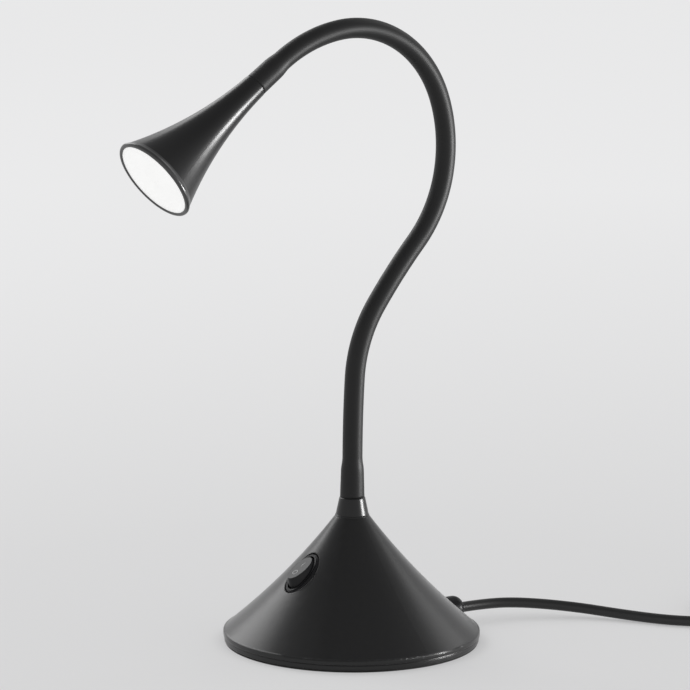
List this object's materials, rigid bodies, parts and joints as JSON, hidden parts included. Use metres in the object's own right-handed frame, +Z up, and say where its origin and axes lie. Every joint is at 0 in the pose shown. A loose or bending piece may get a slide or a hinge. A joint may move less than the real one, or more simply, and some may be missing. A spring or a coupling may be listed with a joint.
{
  "type": "desk lamp",
  "caption": "Desk lamp with a weighted conical base, rocker switch, bendable gooseneck, trumpet-shaped head with a round opal lens, and a mains cord.",
  "frame": {"origin": "middle of the base's underside, on the table", "axes": "+Z up; the neck bends in the YZ plane and the head looks towards -Y; the cord leaves towards +Y"},
  "size_m": [0.2235, 0.4777, 0.378],
  "materials": {
    "base_paint": "satin black powder coat",
    "gloss_paint": "glossy black paint",
    "sleeve": "matt black sleeve",
    "conduit": "wound steel",
    "steel": "plain steel",
    "brass": "plain brass",
    "weight": "rough casting",
    "pad": "fine foam",
    "lens": "opal",
    "reflector": "white",
    "led_board": "white solder mask",
    "chips": "phosphor yellow",
    "aluminium": "cast",
    "board": "green board",
    "parts": "moulded black",
    "yellow": "tape-wound",
    "block": "off-white",
    "switch": "moulded black",
    "rocker": "moulded black, satin",
    "cord": "semi-gloss black sheath",
    "wire": "insulated wire"
  },
  "bodies": {
    "base": {"base_shell": "base_paint", "base_pad": "pad", "base_plate": "steel", "base_screws": "steel", "base_weight": "weight", "neck_collar": "gloss_paint", "base_ferrule": "brass", "neck_washer": "steel", "neck_nut": "brass", "sleeve_0": "sleeve", "conduit_0": "conduit", "driver_tray": "parts", "driver_board": "board", "driver_transformer": "yellow", "driver_capacitors": "parts", "terminal_block": "block", "switch_body": "switch", "switch_terminals": "brass", "switch_leads": "wire", "cord_bush": "switch", "mains_tail": "cord", "neck_lead": "wire", "cord": "cord", "cord_coil": "cord", "plug_body": "cord", "plug_pins": "brass"},
    "neck_1": {"sleeve_1": "sleeve", "conduit_1": "conduit"},
    "neck_2": {"sleeve_2": "sleeve", "conduit_2": "conduit"},
    "neck_3": {"sleeve_3": "sleeve", "conduit_3": "conduit"},
    "neck_4": {"sleeve_4": "sleeve", "conduit_4": "conduit"},
    "neck_5": {"sleeve_5": "sleeve", "conduit_5": "conduit"},
    "neck_6": {"sleeve_6": "sleeve", "conduit_6": "conduit"},
    "neck_7": {"sleeve_7": "sleeve", "conduit_7": "conduit"},
    "neck_8": {"sleeve_8": "sleeve", "conduit_8": "conduit"},
    "head": {"sleeve_9": "sleeve", "conduit_9": "conduit", "head_ferrule": "brass", "head_nut": "brass", "shade": "gloss_paint", "lens_ring": "gloss_paint", "diffuser": "lens", "reflector": "reflector", "led_board": "led_board", "led_chips": "chips", "heat_sink": "aluminium"},
    "rocker": {"rocker": "rocker", "rocker_plunger": "switch"},
    "contact_lever": {"contact_lever": "brass"}
  },
  "joints": [
    {"name": "lower_bend", "type": "hinge", "parent": "base", "child": "neck_1", "pos_m": [0, 0, 0.1146], "axis": [1, 0, 0], "range_deg": [-12, 14], "deforming": ["neck_lead"]},
    {"name": "side_bend", "type": "hinge", "parent": "neck_1", "child": "neck_2", "pos_m": [0, 0.00138, 0.16117], "axis": [0, 0.9982, -0.0593], "range_deg": [-12, 12]},
    {"name": "lower_bend_2", "type": "hinge", "parent": "neck_2", "child": "neck_3", "pos_m": [0, 0.01699, 0.2044], "axis": [1, 0, 0], "range_deg": [-12, 14]},
    {"name": "lower_bend_3", "type": "hinge", "parent": "neck_3", "child": "neck_4", "pos_m": [0, 0.04686, 0.24013], "axis": [1, 0, 0], "range_deg": [-12, 14]},
    {"name": "side_bend_2", "type": "hinge", "parent": "neck_4", "child": "neck_5", "pos_m": [0, 0.06758, 0.28114], "axis": [0, 0.9845, -0.1754], "range_deg": [-12, 12]},
    {"name": "upper_bend", "type": "hinge", "parent": "neck_5", "child": "neck_6", "pos_m": [0, 0.06336, 0.32699], "axis": [1, 0, 0], "range_deg": [-18, 10]},
    {"name": "upper_bend_2", "type": "hinge", "parent": "neck_6", "child": "neck_7", "pos_m": [0, 0.03398, 0.36201], "axis": [1, 0, 0], "range_deg": [-18, 10]},
    {"name": "side_bend_3", "type": "hinge", "parent": "neck_7", "child": "neck_8", "pos_m": [0, -0.01082, 0.37145], "axis": [0, -0.1184, 0.993], "range_deg": [-12, 12]},
    {"name": "upper_bend_3", "type": "hinge", "parent": "neck_8", "child": "head", "pos_m": [0, -0.05393, 0.35503], "axis": [1, 0, 0], "range_deg": [-18, 10]},
    {"name": "rocker_tilt", "type": "hinge", "parent": "base", "child": "rocker", "pos_m": [-0.0017, -0.03364, 0.04394], "axis": [0.9987, -0.0506, 0], "range_deg": [0, 26]},
    {"name": "lever_tilt", "type": "hinge", "parent": "base", "child": "contact_lever", "pos_m": [-0.00133, -0.02619, 0.03712], "axis": [0.9987, -0.0506, 0], "range_deg": [-16, 0]}
  ],
  "couplings": [
    {"joint": "lower_bend_2", "follows": "lower_bend", "ratio": 1},
    {"joint": "lower_bend_3", "follows": "lower_bend", "ratio": 1},
    {"joint": "side_bend_2", "follows": "side_bend", "ratio": 1},
    {"joint": "side_bend_3", "follows": "side_bend", "ratio": 1},
    {"joint": "upper_bend_2", "follows": "upper_bend", "ratio": 1},
    {"joint": "upper_bend_3", "follows": "upper_bend", "ratio": 1},
    {"joint": "lever_tilt", "follows": "rocker_tilt", "ratio": -0.61538}
  ]
}
